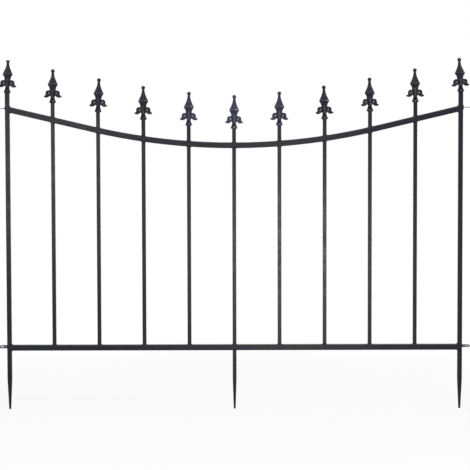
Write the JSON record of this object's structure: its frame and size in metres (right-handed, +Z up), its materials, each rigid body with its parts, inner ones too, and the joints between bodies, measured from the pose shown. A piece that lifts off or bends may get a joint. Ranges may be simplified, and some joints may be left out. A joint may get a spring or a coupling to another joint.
{
  "type": "decorative garden fence panel",
  "caption": "Black steel garden fence panel with a sagging upper rail, square bars, cast spear finials, ground spikes and joining lugs.",
  "frame": {"origin": "middle of the flat foot of the centre ground spike", "axes": "+X along the panel to the right, +Y through it to the back, +Z up"},
  "size_m": [1.235, 0.0468, 0.9172],
  "materials": {
    "post_coating": "satin black powder coat on square steel tube",
    "bar_coating": "satin black powder coat on square steel bar",
    "rail_coating": "satin black powder coat on square steel tube",
    "cast_coating": "satin black powder coat on cast iron",
    "lug_coating": "satin black powder coat on steel strip"
  },
  "bodies": {
    "root": {"left_post": "post_coating", "right_post": "post_coating", "centre_bar": "bar_coating", "bar_left_1": "bar_coating", "bar_left_2": "bar_coating", "bar_left_3": "bar_coating", "bar_left_4": "bar_coating", "bar_right_1": "bar_coating", "bar_right_2": "bar_coating", "bar_right_3": "bar_coating", "bar_right_4": "bar_coating", "upper_rail": "rail_coating", "lower_rail": "rail_coating", "finial_left_5": "cast_coating", "finial_left_4": "cast_coating", "finial_left_3": "cast_coating", "finial_left_2": "cast_coating", "finial_left_1": "cast_coating", "finial_centre": "cast_coating", "finial_right_1": "cast_coating", "finial_right_2": "cast_coating", "finial_right_3": "cast_coating", "finial_right_4": "cast_coating", "finial_right_5": "cast_coating", "upper_lug_left": "lug_coating", "upper_lug_right": "lug_coating", "lower_lug_left": "lug_coating", "lower_lug_right": "lug_coating"}
  },
  "joints": []
}
